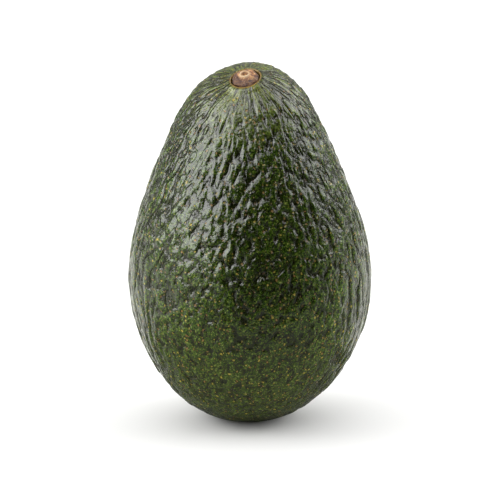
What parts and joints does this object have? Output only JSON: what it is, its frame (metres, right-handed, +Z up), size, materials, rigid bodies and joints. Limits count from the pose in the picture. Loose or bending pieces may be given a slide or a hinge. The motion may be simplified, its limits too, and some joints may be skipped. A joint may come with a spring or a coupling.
{
  "type": "avocado",
  "caption": "Whole pear-shaped avocado standing on its blunt end, with a dark green pebbled rind and a corky stem button near the top of its neck.",
  "frame": {"origin": "middle of the small flat spot that the blossom end rests on", "axes": "+Z up through the neck, -Y towards the side that the stem scar faces, +X to the right seen from there"},
  "size_m": [0.0685, 0.0684, 0.1001],
  "materials": {
    "rind": "dark green pebbled rind with a waxy sheen and pale green specks",
    "cork": "dry matt brown corky stub"
  },
  "bodies": {
    "root": {"fruit": "rind", "stem_button": "cork"}
  },
  "joints": []
}
